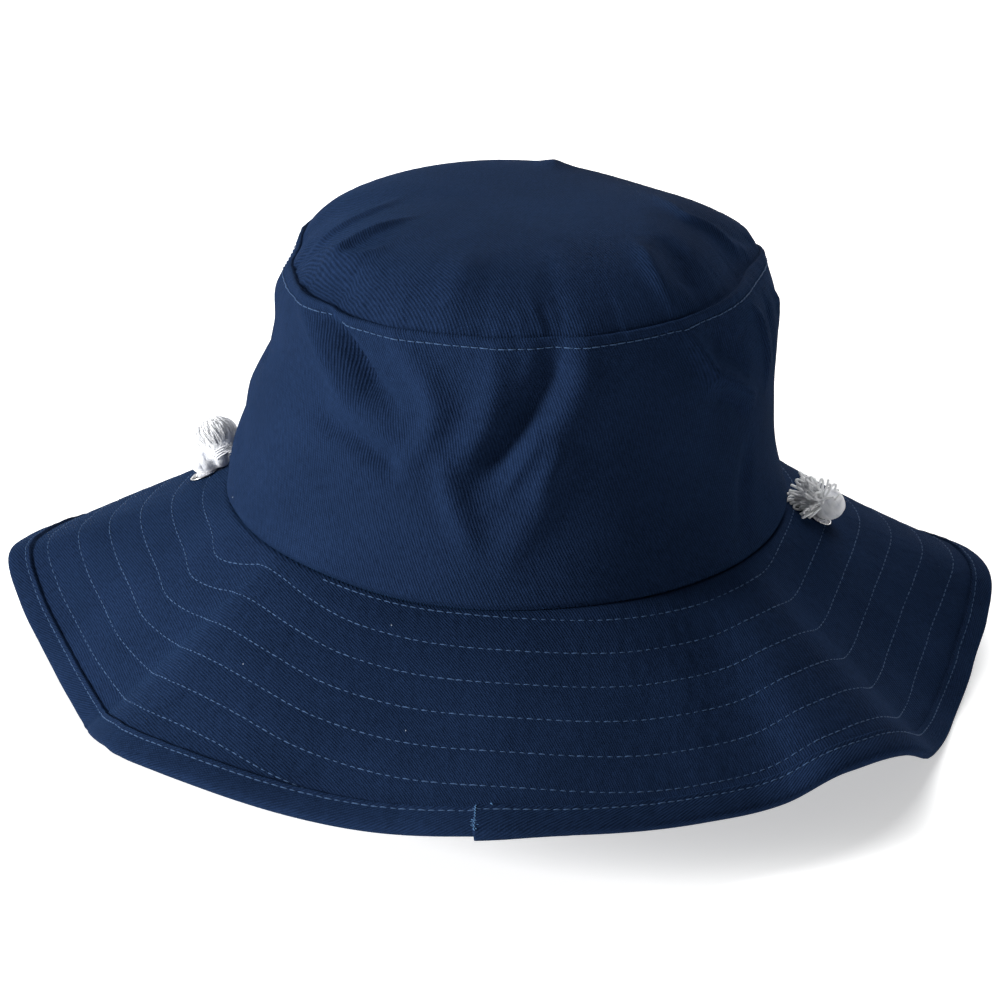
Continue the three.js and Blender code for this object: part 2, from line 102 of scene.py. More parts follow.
def tube(line, radius, sides):
    """Rings of points round a line, and each point's place along and round it, in metres."""
    run = unit(np.gradient(line, axis=0))
    side = np.cross(run[0], (0.3, 0.5, 0.81))
    rings = []
    angle = np.linspace(0, 2 * np.pi, sides, endpoint=False)[:, None]
    for centre, ahead in zip(line, run):
        side = unit(side - ahead * (side @ ahead))
        rings.append(centre + radius * (np.cos(angle) * side + np.sin(angle) * np.cross(ahead, side)))
    round_it = np.linspace(0, 2 * np.pi * radius, sides + 1)
    flat = np.stack(np.broadcast_arrays(run_length(line)[:, None], round_it[None, :]), -1)
    return np.array(rings), flat


def new_piece(name, mesh):
    piece = bpy.data.objects.new(name, mesh)
    bpy.context.scene.collection.objects.link(piece)
    return piece


def loft(name, loops, flat, ring=False):
    """Closed skin through loops of equally many points. Flat is where each point lies on the cut cloth,
    with one column more than the loops have, because the last one closes on the first."""
    loops = np.asarray(loops, float)
    rows, around = loops.shape[:2]
    here = np.arange(rows if ring else rows - 1)[:, None]
    there = (here + 1) % rows
    j = np.arange(around)[None, :]
    k = (j + 1) % around
    quads = np.stack([here * around + j, here * around + k, there * around + k, there * around + j], -1)
    corners = np.stack([flat[here, j], flat[here, j + 1], flat[there, j + 1], flat[there, j]], -2)
    points, faces = loops.reshape(-1, 3), quads.reshape(-1, 4).tolist()
    places = [corners.reshape(-1, 2)]
    if not ring:
        for end, turn in ((0, 1), (rows - 1, -1)):
            pole = len(points)
            points = np.vstack([points, loops[end].mean(0)])
            middle = flat[end].mean(0)
            for a in range(around):
                b = (a + 1) % around
                rim = [end * around + b, end * around + a][::turn]
                faces.append([*rim, pole])
                places.append(np.array([*[flat[end, a + 1], flat[end, a]][::turn], middle]))
    first, second, third, fourth = np.moveaxis(points[quads.reshape(-1, 4)], 1, 0)
    volume = (first * (np.cross(second, third) + np.cross(third, fourth))).sum()
    mesh = bpy.data.meshes.new(name)
    mesh.from_pydata(points.tolist(), [], faces)
    cut = mesh.uv_layers.new(name="cut_cloth")
    cut.data.foreach_set("uv", np.vstack(places).ravel())
    if volume < 0:
        mesh.flip_normals()
    mesh.shade_smooth()
    return new_piece(name, mesh)


class Wire:
    """What comes out of a node, used in sums like a number."""

    def __init__(self, nodes, socket):
        self.nodes, self.socket = nodes, socket

    def sum(self, operation, *terms):
        return self.nodes.add("ShaderNodeMath", {"operation": operation}, dict(enumerate(terms)))

    def __add__(self, other): return self.sum("ADD", self, other)
    def __radd__(self, other): return self.sum("ADD", other, self)
    def __sub__(self, other): return self.sum("SUBTRACT", self, other)
    def __rsub__(self, other): return self.sum("SUBTRACT", other, self)
    def __mul__(self, other): return self.sum("MULTIPLY", self, other)
    def __rmul__(self, other): return self.sum("MULTIPLY", other, self)
    def __truediv__(self, other): return self.sum("DIVIDE", self, other)
    def __neg__(self): return self.sum("MULTIPLY", self, -1.0)
    def sine(self): return self.sum("SINE", self)
    def size(self): return self.sum("ABSOLUTE", self)
    def below(self, limit): return self.sum("LESS_THAN", self, limit)
    def output(self, key): return Wire(self.nodes, self.socket.node.outputs[key])


class Nodes:
    """A node tree with one method that adds a node, sets it and joins it up."""

    def __init__(self, tree):
        self.tree = tree

    def add(self, kind, settings=None, inputs=None, output=0):
        node = self.tree.nodes.new(kind)
        for key, value in (settings or {}).items():
            setattr(node, key, value)
        for key, value in (inputs or {}).items():
            if isinstance(value, Wire):
                self.tree.links.new(value.socket, node.inputs[key])
            else:
                node.inputs[key].default_value = value
        return Wire(self, node.outputs[output]) if node.outputs else node

    def mix(self, share, first, second):
        return self.add("ShaderNodeMix", {"data_type": "RGBA"}, {0: share, 6: first, 7: second}, output=2)

    def noise(self, where, scale, detail=2.0, roughness=0.5):
        inputs = {"Vector": where, "Scale": scale, "Detail": detail, "Roughness": roughness}
        return self.add("ShaderNodeTexNoise", None, inputs)

    def bump(self, strength, distance, height):
        inputs = {"Strength": strength, "Distance": distance, "Height": height}
        return self.add("ShaderNodeBump", None, inputs)

    def on_cut_cloth(self):
        """The place on the cut cloth, as a vector and as metres in its two directions."""
        place = self.add("ShaderNodeUVMap", {"uv_map": "cut_cloth"})
        split = self.add("ShaderNodeSeparateXYZ", None, {0: place})
        return place, split, split.output(1)

    def in_object(self):
        return self.add("ShaderNodeTexCoord", output=3)


def new_finish(name):
    """An empty material and its nodes."""
    material = bpy.data.materials.new(name)
    material.use_nodes = True
    material.node_tree.nodes.clear()
    return material, Nodes(material.node_tree)


def end_finish(nodes, sockets):
    shader = nodes.add("ShaderNodeBsdfPrincipled", None, sockets)
    nodes.add("ShaderNodeOutputMaterial", None, {"Surface": shader})


def cotton_cord_finish(name, strands, slant):
    """Soft white cotton: strands that cross round the cord, fine fibres, and painted shade that greys the
    grooves between them.
    """
    material, nodes = new_finish(name)
    place, along, around = nodes.on_cut_cloth()
    turn = around * (2 / cord_width)
    lean = along * (2 * math.pi / slant)
    one_way = (turn * strands + lean).sine().size()
    other_way = (turn * strands - lean).sine().size()
    fibres = nodes.noise(nodes.in_object(), 2600.0, 3.0)
    plait = one_way.sum("MAXIMUM", one_way, other_way) + fibres * 0.35
    # Painted shade: the grooves between the strands are coloured grey, the strands' crests white.
    colour = nodes.mix(plait * 0.8, (0.56, 0.58, 0.64, 1), (0.86, 0.87, 0.9, 1))
    end_finish(nodes, {
        "Base Color": colour, "Roughness": 0.9, "Specular IOR Level": 0.2,
        "Normal": nodes.bump(1.0, 0.4 * mm, plait),
        "Subsurface Weight": 0.4, "Subsurface Radius": (1, 1, 1), "Subsurface Scale": 1 * mm,
        "Sheen Weight": 0.6, "Sheen Roughness": 0.5,
    })
    return material


cord_line = through(cord_route, 12)
cord_piece = loft("chin_cord_braid", *tube(cord_line, cord_width / 2, 16))
cord_piece.data.materials.append(cotton_cord_finish("white_braid", 2.0, 5 * mm))
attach(cord_piece, "root")
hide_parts("chin_cord")


# Crown wall. One strip of twill joined in a ring, which stands up from the brim seam and leans in a little.
# The cloth is soft, so it has slack folds and is pinched where its top seam turns at the two sides.
seam_centre = np.array((1.504, 6.110, 55.11)) * mm
crown_width = 178 * mm
crown_depth = 194 * mm
crown_height = 77 * mm
wall_cloth = 1.6 * mm
wall_radius = 0.45 * crown_depth

wall_levels = {
    "height": (0, 0.25, 0.5, 0.75, 1),
    "width": (1, 0.945, 0.91, 0.876, 0.852),
    "depth": (1, 0.955, 0.92, 0.88, 0.84),
    "lean": (0, 0, 0.012, 0.031, 0.027),
}
seam_sag = {
    "bearing": (-180, -130, -112, -96, -78, -60, -40, -20, 20, 60, 90, 130),
    "base": (0, 0.015, 0.025, 0.033, 0.038, 0.044, 0.038, 0.01, 0, -0.01, -0.01, 0),
    "top": (0, 0.01, 0, -0.045, -0.03, 0, -0.005, 0, 0, 0.02, 0, -0.09),
}
# At its two sides the top seam is drawn in, so that the wall's upper end turns over; tuck in millimetres.
corner_tucks = {"bearing": (-82, -102, 74), "spread": (20, 7, 17), "tuck": (4.4, 2, 5.6)}
# Slack folds: half the width of each in millimetres, and the points it runs through, each with a
# bearing, a level and how far it stands out in millimetres.
wall_creases = (
    (3.4, (-53, 0.99, -0.9), (-46.5, 0.93, -4.8), (-41.5, 0.85, -7), (-36.5, 0.77, -6),
     (-30, 0.73, -2), (-26, 0.7, 0)),
    (3.6, (-62, 0.97, 0.8), (-55, 0.9, 2), (-50, 0.82, 3), (-44, 0.73, 2.2), (-38, 0.66, 0)),
    (5, (-31, 0.97, 0.8), (-26, 0.9, 2), (-21.5, 0.82, 2.8), (-19, 0.72, 3),
     (-19.5, 0.62, 2.4), (-22, 0.52, 1.4), (-24, 0.44, 0)),
    (3, (-50, 0.61, 0), (-44, 0.58, -2.4), (-36, 0.555, -3.4), (-28, 0.51, -3), (-24, 0.45, 0)),
    (4, (-48, 0.7, 0), (-38, 0.66, 1.2), (-30, 0.62, 1), (-26, 0.56, 0)),
    (4, (-17.5, 0.6, 0), (-14.5, 0.51, 2.2), (-11.5, 0.39, 2.4), (-8, 0.28, 1.8), (-5, 0.16, 0)),
    (5, (6.5, 0.97, -1.8), (5, 0.85, -4.2), (0, 0.71, -5.2), (-4, 0.56, -4),
     (-6.5, 0.48, -1.8), (-9, 0.4, 0)),
    (5, (-6, 0.95, 0.8), (-7, 0.85, 2.2), (-8.5, 0.7, 2.6), (-11, 0.58, 1.8), (-12.5, 0.48, 0)),
    (7, (13, 0.98, 0.8), (11.5, 0.87, 1.8), (7.5, 0.73, 2.2), (3, 0.58, 1.6), (0, 0.45, 0)),
    (2.4, (3, 0.7, 0), (1.5, 0.6, 1.2), (-1, 0.5, 1.4), (-3, 0.42, 0)),
    (2.4, (8, 0.64, 0), (6.5, 0.56, 1.1), (5, 0.47, 1), (3, 0.4, 0)),
    (6, (12, 0.62, 0), (10, 0.55, 1.6), (5.5, 0.4, 2.2), (-0.5, 0.21, 1.4), (-3, 0.1, 0)),
    (3, (35, 0.99, 0.2), (38.5, 0.9, 3.2), (42.5, 0.78, 4.8), (49.5, 0.71, 4.4),
     (57.5, 0.62, 2.4), (62, 0.56, 0)),
    (4, (43, 0.94, -0.4), (47, 0.86, -2.4), (52, 0.78, -1.8), (57, 0.7, 0)),
    (3, (42, 0.72, 0), (47, 0.67, -1.6), (54, 0.6, -1.6), (60, 0.54, 0)),
    (1.8, (32, 0.48, 0), (32.3, 0.3, 0.6), (32.5, 0.12, 0)),
    (4, (59, 0.45, 0), (58, 0.3, -1.9), (54, 0.1, -0.8)),
    (1.8, (62.5, 0.94, 0.1), (64.5, 0.88, 1.4), (67, 0.7, 1.6), (69, 0.55, 0)),
    (2.5, (70.5, 0.93, -0.2), (72, 0.85, -1.5), (75, 0.7, -0.8), (76, 0.6, 0)),
    (2.2, (79, 0.94, 0.1), (83, 0.85, 1.2), (86, 0.7, 0)),
    (7, (106, 0.62, 0), (93, 0.6, -1.8), (80, 0.56, 0)),
    (6, (-106, 0.92, 0), (-92, 0.9, 1.2), (-80, 0.88, 0)),
    (4, (-104, 0.66, 0), (-92, 0.62, -3.5), (-80, 0.6, 0)),
    (6, (-108, 0.5, 0), (-92, 0.46, 1.2), (-70, 0.4, 0)),
    (9, (-114, 0.3, 0), (-98, 0.22, 1.5), (-80, 0.15, 1), (-70, 0.1, 0)),
)


def through_column(places, values, at):
    """Smooth curve through one column of a table."""
    places, values, at = (np.asarray(x, float) for x in (places, values, at))
    gap = np.diff(places)
    slope = np.diff(values) / gap
    inner = (slope[:-1] * gap[1:] + slope[1:] * gap[:-1]) / (gap[1:] + gap[:-1])
    slopes = np.concatenate([slope[:1], inner, slope[-1:]])
    i = np.clip(np.searchsorted(places, at, side="right") - 1, 0, len(places) - 2)
    u = (at - places[i]) / gap[i]
    return ((2 * u**3 - 3 * u**2 + 1) * values[i] + (3 * u**2 - 2 * u**3) * values[i + 1]
            + ((u**3 - 2 * u**2 + u) * slopes[i] + (u**3 - u**2) * slopes[i + 1]) * gap[i])


def within_turn(bearing):
    return (np.asarray(bearing, float) + 180) % 360 - 180


def round_hat(table, column, bearing):
    """A column of a table whose rows go once round the hat."""
    places = np.asarray(table["bearing"], float)
    turns = np.concatenate([places - 360, places, places + 360])
    return through_column(turns, np.tile(table[column], 3), within_turn(bearing))


def up_wall(column, level):
    return through_column(wall_levels["height"], wall_levels[column], level)


def ease(value, start, end):
    t = np.clip((value - start) / (end - start), 0, 1)
    return t * t * (3 - 2 * t)


def oval(bearing, half_width, half_depth):
    angle = np.radians(bearing)
    return np.stack([half_width * np.sin(angle), -half_depth * np.cos(angle), 0 * angle], -1)


def creased(on_cloth, bearing, level, creases):
    """Height of soft creases at a place, which on_cloth turns into two coordinates in metres."""
    first, second = on_cloth(bearing, level)
    height = 0 * first
    for half_width, *path in creases:
        path = np.array([(*on_cloth(at, high), out) for at, high, out in path])
        nearest = np.full(first.shape, np.inf)
        there = 0 * first
        for start, end in zip(path[:-1], path[1:]):
            run = end[:2] - start[:2]
            part = np.clip(((first - start[0]) * run[0] + (second - start[1]) * run[1]) / (run @ run), 0, 1)
            off = np.hypot(first - start[0] - part * run[0], second - start[1] - part * run[1])
            there = np.where(off < nearest, start[2] + part * (end[2] - start[2]), there)
            nearest = np.minimum(off, nearest)
        height = height + there * mm * np.exp(-(nearest / (half_width * mm)) ** 2)
    return height


def on_wall(bearing, level):
    """A bearing and a level as metres along and up the wall's cloth."""
    return np.radians(bearing) * wall_radius, level * crown_height


def fold_push(bearing, level):
    """How far the wall's slack folds and drawn-in corners move it outward, in metres."""
    push = creased(on_wall, within_turn(bearing), level, wall_creases)
    turned_in = np.clip((level - 0.84) / 0.16, 0, 1) ** 2.2
    for at, spread, tuck in zip(*corner_tucks.values()):
        push = push - tuck * mm * turned_in * np.exp(-(within_turn(bearing - at) / spread) ** 2)
    return push


def pucker(bearing, strength):
    """Small gathers that a row of stitches pulls into the cloth."""
    angle = np.radians(bearing)
    waves = np.sin(61 * angle + 1.3) + 0.8 * np.sin(83 * angle) + 0.6 * np.sin(113 * angle + 2)
    return strength * waves / 2.4


def wall_point(bearing, level, inset=0.0):
    bearing, level = np.broadcast_arrays(np.asarray(bearing, float), np.asarray(level, float))
    half_width = crown_width / 2 * up_wall("width", level)
    half_depth = crown_depth / 2 * up_wall("depth", level)
    place = oval(bearing, half_width, half_depth)
    outward = unit(oval(bearing, 1 / half_width, 1 / half_depth))
    push = fold_push(bearing, level)
    from_top = (1 - level) * crown_height
    from_base = level * crown_height
    push = push + 0.35 * mm * (1 - ease(from_top, 2.6 * mm, 4.2 * mm))
    push = push - 0.35 * mm * np.exp(-((from_top - topstitch_drop) / (0.7 * mm)) ** 2)
    push = push + pucker(bearing, 0.18 * mm) * np.exp(-from_top / (7 * mm))
    push = push - 1.3 * mm * (1 - ease(from_base, 0, 2.2 * mm))
    place = place + outward * (push - inset)[..., None]
    place[..., 0] += up_wall("lean", level) * crown_width
    sag = round_hat(seam_sag, "base", bearing) * (1 - level) + round_hat(seam_sag, "top", bearing) * level
    place[..., 2] = crown_height * (level + sag)
    return place + seam_centre


def twill_finish(name, slope):
    """Navy twill: slanting ribs, each a row of short yarn floats, with painted light on their tops and
    painted shade between them, a soft uneven dye and a few specks of white lint. Slope is the ribs' angle
    on the cut cloth, in degrees."""
    rib_gap = 0.8 * mm
    float_length = 0.8 * mm
    material, nodes = new_finish(name)
    place, u, v = nodes.on_cut_cloth()
    cos, sin = math.cos(math.radians(slope)), math.sin(math.radians(slope))
    across = u * sin - v * cos
    along = u * cos + v * sin
    waver = nodes.noise(place, 260.0)
    ribs = across / rib_gap + waver * 0.14
    rib = (ribs * (2 * math.pi)).sine() * 0.5 + 0.5
    floats = ((along / float_length + ribs * 0.5) * (2 * math.pi)).sine() * 0.5 + 0.5
    yarn = nodes.add("ShaderNodeCombineXYZ", None, {"X": across * 1400, "Y": along * 420})
    slubs = nodes.noise(yarn, 1.0, 2.0, 0.6)
    fibres = nodes.noise(place, 3400.0, 3.0, 0.7)
    weave = rib * (0.31 + 0.22 * floats) + slubs * 0.85 + fibres * 0.65 - 0.45
    mottle = nodes.noise(place, 38.0, 3.0, 0.6)
    # Painted light on the ribs' tops and painted shade between them, mixed with the cloth's own uneven dye.
    rib_shade_and_dye = weave * 0.95 + (mottle - 0.5) * 0.45
    colour = nodes.mix(rib_shade_and_dye, (0.0034, 0.0072, 0.0180, 1), (0.0128, 0.0276, 0.0720, 1))
    cell = {"Vector": place, "Scale": 55.0, "Randomness": 1.0}
    lint = nodes.add("ShaderNodeTexVoronoi", {"feature": "F1"}, cell).below(0.014)
    colour = nodes.mix(lint * 0.55, colour, (0.45, 0.52, 0.62, 1))
    slack = nodes.noise(place, 70.0)
    bump = nodes.bump(0.75, 1 * mm, weave * 0.4 + slack * 0.6)
    end_finish(nodes, {
        "Base Color": colour, "Roughness": 0.92, "Normal": bump, "Specular IOR Level": 0.01,
        "Specular Tint": (0.35, 0.6, 1, 1), "Sheen Weight": 0.045, "Sheen Roughness": 0.3,
        "Sheen Tint": (0.14, 0.42, 1, 1),
    })
    return material


topstitch_drop = 2.5 * mm
wall_turn = np.linspace(-180, 180, 481)
wall_bearings = wall_turn[:-1]
wall_rise = np.concatenate([
    np.linspace(0, 3, 6)[:-1] * mm, np.linspace(3 * mm, crown_height - 5 * mm, 46),
    np.linspace(crown_height - 5 * mm, crown_height, 12)[1:],
]) / crown_height
outer_wall = [wall_point(wall_bearings, level) for level in wall_rise]
inner_wall = [wall_point(wall_bearings, level, wall_cloth) for level in wall_rise[::-3]]
lip = wall_point(wall_bearings, 1.0, wall_cloth / 2) + (0, 0, 0.45 * mm)
foot = wall_point(wall_bearings, 0.0, wall_cloth / 2) + (0, 0, 0.25 * mm)
wall_loops = [*outer_wall, lip, *inner_wall, foot]
wall_places = [*wall_rise, 1.005, *wall_rise[::-3], -0.005]
mean_girth = math.pi * (crown_width + crown_depth) / 2 * wall_levels["width"][2]
wall_flat = np.array([
    np.stack([wall_turn / 360 * mean_girth, 0 * wall_turn + level * crown_height], -1)
    for level in wall_places
])
wall_piece = loft("crown_wall_cloth", wall_loops, wall_flat, ring=True)
wall_piece.data.materials.append(twill_finish("wall_twill", 115))
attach(wall_piece, "root")
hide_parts("crown_wall")


# Crown top. One oval of the same twill, sewn inside the wall's upper edge, which stands a little above it.
# It domes over the head, and creases run in from the two pinched ends of the seam.
dome_rise = 18.2 * mm
dome_roundness = 4.2
dome_fullness = 0.8
top_half_width = 0.43 * crown_width
top_half_depth = 0.42 * crown_depth
# Creases, each with half its width and then its points: bearing, share of the way out, and lift.
top_creases = (
    (2.2, (-84, 0.98, 0.6), (-75, 0.92, 2), (-61.5, 0.84, 2.6), (-62, 0.66, 2), (-63.5, 0.47, 0)),
    (2.4, (-84, 0.96, 0.4), (-82, 0.88, 1.5), (-83.5, 0.78, 1.5), (-90, 0.6, 1), (-105, 0.5, 0)),
    (2.6, (-74, 0.97, 0.3), (-68, 0.93, 1.2), (-52.5, 0.83, 1.8), (-46.5, 0.72, 0)),
    (3, (-68, 0.96, -1), (-46.5, 0.91, -1.6), (-35, 0.84, 0)),
    (4.5, (-86, 0.965, -2), (-60, 0.965, -2.6), (-42, 0.965, -2.2), (-30, 0.96, 0)),
    (6, (-18, 0.6, 0), (-17.5, 0.75, 1.2), (-17.5, 0.9, 1.7), (-17, 1, 1)),
    (1.2, (1.5, 0.86, 0), (2, 0.93, 0.6), (3.5, 0.98, 0.6)),
    (1.2, (-2, 0.9, 0), (-1.5, 0.95, 0.5), (-1, 0.98, 0.5)),
    (1.2, (5.5, 0.88, 0), (6.5, 0.95, 0.6), (7, 0.98, 0.5)),
    (3.2, (41.5, 0.62, 0), (39, 0.75, 1.5), (36, 0.86, 1.5), (35.5, 0.99, 0.4)),
    (4.5, (54, 0.68, 0), (49.5, 0.77, -2), (44.5, 0.88, -2.2), (44, 0.95, -1)),
    (2.6, (107, 0.52, 0), (77.5, 0.73, 1.8), (79.5, 0.92, 2), (88, 0.98, 0.5)),
    (2.2, (126, 0.75, 0), (120, 0.88, 1.2), (105, 0.94, 1.3), (90, 0.97, 0.4)),
    (6, (88, 0.96, -1.5), (66, 0.95, -2.8), (50, 0.95, -2.2), (42, 0.95, 0)),
    (7, (158, 0.62, 0), (167, 0.6, 1.8), (176, 0.58, 0)),
)


def on_top(bearing, share):
    """A bearing and a share of the radius as metres on the flat top."""
    angle = np.radians(bearing)
    return share * top_half_width * np.sin(angle), share * -top_half_depth * np.cos(angle)


def top_point(bearing, share, inset=0.0):
    bearing, share = np.broadcast_arrays(np.asarray(bearing, float), np.asarray(share, float))
    rim = wall_point(bearing, 1.0, 0.9 * mm)
    middle = seam_centre + (up_wall("lean", 1.0) * crown_width, 0, crown_height)
    place = middle + (rim - middle) * share[..., None]
    crease = creased(on_top, bearing, share, top_creases)
    rise = (dome_rise - inset) * (1 - share**dome_roundness) ** dome_fullness
    from_seam = (1 - share) * crown_width * 0.42
    tuck = 1.5 * mm * np.exp(-from_seam / (3.2 * mm))
    gather = pucker(bearing + 2, 0.16 * mm) * np.exp(-from_seam / (9 * mm))
    seam_height = rim[..., 2] - middle[2]
    near_seam = 1 - ease(from_seam, 0, 1.5 * mm)
    place[..., 2] = middle[2] + seam_height * share**2 + rise + crease * (1 - near_seam)
    place[..., 2] += gather - tuck - inset
    return place


dome_shares = 1 - np.concatenate([np.linspace(0, 0.1, 12)[:-1], np.linspace(0.1, 0.985, 40)])
dome_loops = [top_point(wall_bearings, share) for share in dome_shares[::-1]]
dome_loops += [top_point(wall_bearings, share, 1.4 * mm) for share in dome_shares[::3]]
dome_flat = np.array([
    np.stack(on_top(wall_turn, share), -1) for share in [*dome_shares[::-1], *dome_shares[::3]]
])
top_piece = loft("crown_top_cloth", dome_loops, dome_flat)
top_piece.data.materials.append(twill_finish("top_twill", 118))
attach(top_piece, "root")
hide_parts("crown_top")


# Topstitching of the crown. A row of lighter blue thread holds the seam allowance down, a little below
# the wall's upper edge. Each stitch is a short bowed piece of thread that dives into the cloth.
stitch_length = 2.1 * mm
stitch_spacing = 2.7 * mm
thread_width = 0.36 * mm


def new_tree(name, wanted):
    """A node tree with named inputs: the tree, its nodes, a wire from each input, and their identifiers."""
    tree = bpy.data.node_groups.new(name, "GeometryNodeTree")
    found = {}
    for label, kind in wanted.items():
        found[label] = tree.interface.new_socket(label, in_out="INPUT", socket_type=kind).identifier
    tree.interface.new_socket("Geometry", in_out="OUTPUT", socket_type="NodeSocketGeometry")
    nodes = Nodes(tree)
    given = nodes.add("NodeGroupInput")
    return tree, nodes, {label: given.output(label) for label in wanted}, found


def thread_body(nodes, line, width, sides):
    """The round body of a thread along a line, with closed ends."""
    ring = {"Resolution": sides, "Radius": width * 0.5}
    outline = nodes.add("GeometryNodeCurvePrimitiveCircle", None, ring)
    inputs = {"Curve": line, "Profile Curve": outline, "Fill Caps": True}
    return nodes.add("GeometryNodeCurveToMesh", None, inputs)


def end_tree(nodes, threads, material):
    plain = nodes.add("GeometryNodeRealizeInstances", None, {0: threads})
    smooth = nodes.add("GeometryNodeSetShadeSmooth", None, {0: plain})
    done = nodes.add("GeometryNodeSetMaterial", None, {"Geometry": smooth, "Material": material})
    nodes.add("NodeGroupOutput", None, {0: done})


# The node tree lays stitches along the edges of a mesh, each turned to the cloth's own upward direction.
stitch_tree, tree_nodes, wire, stitch_inputs = new_tree("stitches", {
    "Rows": "NodeSocketGeometry", "Spacing": "NodeSocketFloat", "Stitch length": "NodeSocketFloat",
    "Thread width": "NodeSocketFloat", "Unevenness": "NodeSocketFloat", "Thread": "NodeSocketMaterial",
})
stitch_rows = tree_nodes.add("GeometryNodeMeshToCurve", None, {0: wire["Rows"]})
stitch_places = tree_nodes.add(
    "GeometryNodeResampleCurve", {"mode": "LENGTH"}, {"Curve": stitch_rows, "Length": wire["Spacing"]},
)
stitch_ahead = tree_nodes.add("GeometryNodeInputTangent")
stitch_up = tree_nodes.add(
    "GeometryNodeInputNamedAttribute", {"data_type": "FLOAT_VECTOR"}, {"Name": "up"},
)
turned = tree_nodes.add("FunctionNodeAlignRotationToVector", {"axis": "X"}, {"Vector": stitch_ahead})
turned = tree_nodes.add(
    "FunctionNodeAlignRotationToVector", {"axis": "Z", "pivot_axis": "X"},
    {"Rotation": turned, "Vector": stitch_up},
)
half_stitch = wire["Stitch length"] * 0.5
dip = wire["Thread width"] * -0.55
stitch_arc = tree_nodes.add("GeometryNodeCurveQuadraticBezier", None, {
    "Resolution": 5,
    "Start": tree_nodes.add("ShaderNodeCombineXYZ", None, {"X": -half_stitch, "Z": dip}),
    "Middle": tree_nodes.add("ShaderNodeCombineXYZ", None, {"Z": wire["Thread width"]}),
    "End": tree_nodes.add("ShaderNodeCombineXYZ", None, {"X": half_stitch, "Z": dip}),
})
stitch_size = tree_nodes.add(
    "FunctionNodeRandomValue", {"data_type": "FLOAT"},
    {2: 1.0 - wire["Unevenness"], 3: 1.0 + wire["Unevenness"], "Seed": 11}, output=1,
)
sewn = tree_nodes.add("GeometryNodeInstanceOnPoints", None, {
    "Points": stitch_places, "Instance": thread_body(tree_nodes, stitch_arc, wire["Thread width"], 5),
    "Rotation": turned, "Scale": stitch_size,
})
end_tree(tree_nodes, sewn, wire["Thread"])


def threads_of(name, lines, ups):
    """A mesh of bare edges that keeps the cloth's upward direction at each point."""
    points = np.vstack(lines)
    edges, start = [], 0
    for line in lines:
        edges += [(start + i, start + i + 1) for i in range(len(line) - 1)]
        start += len(line)
    mesh = bpy.data.meshes.new(name)
    mesh.from_pydata(points.tolist(), edges, [])
    up = mesh.attributes.new("up", "FLOAT_VECTOR", "POINT")
    up.data.foreach_set("vector", np.vstack(ups).astype(np.float32).ravel())
    return new_piece(name, mesh)


def settle(piece, tree, names, values):
    """Runs a node tree on a piece and keeps what it makes as the piece's own plain mesh."""
    modifier = piece.modifiers.new(tree.name, "NODES")
    modifier.node_group = tree
    for label, value in values.items():
        modifier[names[label]] = value
    made = piece.evaluated_get(bpy.context.evaluated_depsgraph_get())
    mesh = bpy.data.meshes.new_from_object(made)
    piece.modifiers.clear()
    piece.data = mesh
    return piece


def sew(name, lines, ups, thread):
    piece = threads_of(name, lines, ups)
    settle(piece, stitch_tree, stitch_inputs, {
        "Spacing": stitch_spacing, "Stitch length": stitch_length, "Thread width": thread_width,
        "Unevenness": 0.16, "Thread": thread,
    })
    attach(piece, "root")
    return piece


def thread_finish(name, dark, light, softness=0.0):
    """Thread: two fine plies, with painted light where they stand proud."""
    material, nodes = new_finish(name)
    plies = nodes.noise(nodes.in_object(), 1500.0)
    # Painted highlight: the plies are coloured lighter where the bump raises them.
    end_finish(nodes, {
        "Base Color": nodes.mix(plies, dark, light), "Roughness": 0.75, "Specular IOR Level": 0.08,
        "Normal": nodes.bump(0.5, 0.1 * mm, plies),
        "Subsurface Weight": softness, "Subsurface Radius": (1, 1, 1), "Subsurface Scale": 2 * mm,
        "Sheen Weight": softness, "Sheen Roughness": 0.5,
    })
    return material


def upward(surface, bearing, place, step=0.2 * mm):
    """The cloth's own upward or outward direction on a surface given as a function."""
    turn_step = 0.2
    across = surface(bearing + turn_step, place) - surface(bearing - turn_step, place)
    out = surface(bearing, place + step) - surface(bearing, place - step)
    return unit(np.cross(out, across))


blue_thread = thread_finish("blue_thread", (0.024, 0.047, 0.098, 1), (0.055, 0.104, 0.205, 1))
ring_bearings = np.linspace(-180, 180, 721)
topstitch_level = 1 - topstitch_drop / crown_height
topstitch_line = wall_point(ring_bearings, topstitch_level, -0.25 * mm)
topstitch_up = -upward(wall_point, ring_bearings, topstitch_level, 0.002)
topstitch = sew("crown_topstitch", [topstitch_line], [topstitch_up], blue_thread)


# Brim. Two layers of twill with a light interlining, sewn flat together by one long row of stitches that
# winds outward from the crown seam seven times. It droops and folds under its own weight.
brim_width = 79 * mm
brim_cloth = 1.6 * mm
tape_width = 8.5 * mm
brim_folds = {
    "bearing": (-180, -150, -122, -106, -97, -90, -80, -70, -62, -56, -53.5, -52, -50, -48.5, -45, -40,
                -28, 0, 28, 38, 46, 52, 57, 62, 70, 80, 90, 98, 108, 125, 150),
    "swing": (0, 0, -3, -6, -5, -6.5, -16.5, -26, -30, -28.5, -26, -22, 1, 6, 8, 9,
              13.5, -2, -19, -21, -21, -14, -1, 12, 22, 18, 11, 8, 6, 3, 0),
    "droop": (40, 42, 37, 26, 23.2, 22, 29.5, 36.5, 40, 43, 43.5, 42, 31, 28.5, 27, 26,
              26.5, 24, 26, 26, 22, 25, 38, 42, 38, 32, 27, 27.5, 32, 39, 42),
}
# How far the brim's edge curls down behind its left end, in millimetres.
edge_curl = {"bearing": (-180, -150, -122, -106, -97, -90, -80), "curl": (0, 0, 2, 3.6, 0.8, 0, 0)}
